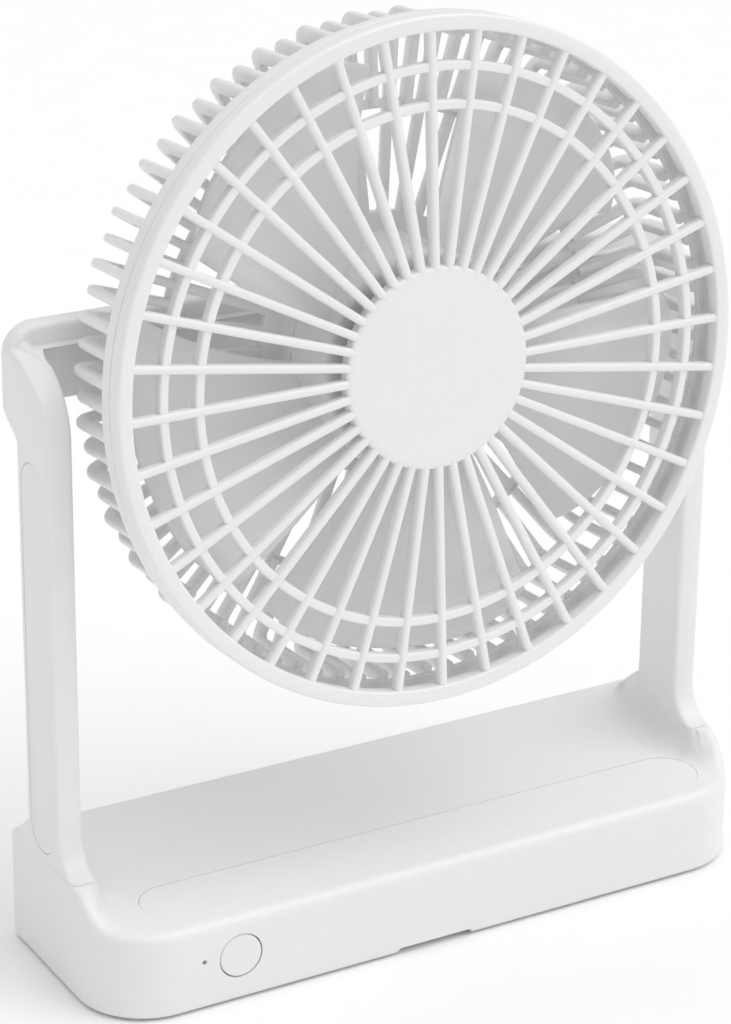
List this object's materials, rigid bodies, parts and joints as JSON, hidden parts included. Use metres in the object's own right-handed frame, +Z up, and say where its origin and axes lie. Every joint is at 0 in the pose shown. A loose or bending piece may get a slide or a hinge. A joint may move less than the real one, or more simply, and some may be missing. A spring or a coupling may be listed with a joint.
{
  "type": "desk fan",
  "caption": "Cordless round desk fan: tilting guarded head on an arched frame over a long base with a light strip and a push button.",
  "frame": {"origin": "on the surface the feet stand on, under the middle of the base", "axes": "+Z up, the fan blows towards -Y, +X is to its right seen from the front"},
  "size_m": [0.1946, 0.0598, 0.2434],
  "materials": {
    "housing": "satin moulded white ABS",
    "guard": "satin moulded white ABS",
    "rotor": "satin moulded white ABS",
    "diffuser": "milky polycarbonate",
    "foot_rubber": "matt moulded rubber",
    "zinc_steel": "zinc plated",
    "laminated_steel": "stacked sheet edges",
    "board": "solder mask",
    "cell_wrap": "shrink film",
    "switch_plastic": "moulded black",
    "lead_sheath": "PVC sheath"
  },
  "bodies": {
    "stand": {"arm_cover_left": "housing", "arm_cover_right": "housing", "base_bottom_plate": "housing", "base_screw_front_left": "zinc_steel", "base_screw_front_right": "zinc_steel", "base_screw_rear_left": "zinc_steel", "base_screw_rear_right": "zinc_steel", "base_shell": "housing", "battery_cell_left": "cell_wrap", "battery_cell_right": "cell_wrap", "bracket_screw_left": "zinc_steel", "bracket_screw_right": "zinc_steel", "charge_socket": "zinc_steel", "control_board": "board", "foot_front_left": "foot_rubber", "foot_front_right": "foot_rubber", "foot_rear_left": "foot_rubber", "foot_rear_right": "foot_rubber", "frame_hoop": "housing", "friction_washer_left": "zinc_steel", "friction_washer_right": "zinc_steel", "indicator_lens": "diffuser", "led_board": "board", "light_diffuser": "diffuser", "motor_lead": "lead_sheath", "tact_switch": "switch_plastic", "tilt_bracket": "zinc_steel", "tilt_pin": "zinc_steel"},
    "head": {"bearing_front": "zinc_steel", "bearing_rear": "zinc_steel", "front_guard": "guard", "motor_mount": "zinc_steel", "motor_screw_1": "zinc_steel", "motor_screw_2": "zinc_steel", "motor_screw_3": "zinc_steel", "rear_guard": "guard", "stator_core": "laminated_steel", "tilt_knuckle": "housing"},
    "rotor": {"fan_rotor": "rotor", "magnet_ring": "laminated_steel", "motor_shaft": "zinc_steel"},
    "button": {"power_button": "housing", "switch_plunger": "switch_plastic"}
  },
  "joints": [
    {"name": "head_tilt", "type": "hinge", "parent": "stand", "child": "head", "pos_m": [0, 0.0162, 0.1536], "axis": [-1, 0, 0], "range_deg": [-15, 20]},
    {"name": "rotor_spin", "type": "hinge", "parent": "head", "child": "rotor", "pos_m": [0, 0.0162, 0.1536], "axis": [0, -0.9977, 0.0677], "continuous": true},
    {"name": "button_press", "type": "slide", "parent": "stand", "child": "button", "axis": [0, 1, 0], "range_m": [0, 0.0008], "stiffness_N_per_m": 600, "springref_m": -0.0005}
  ]
}
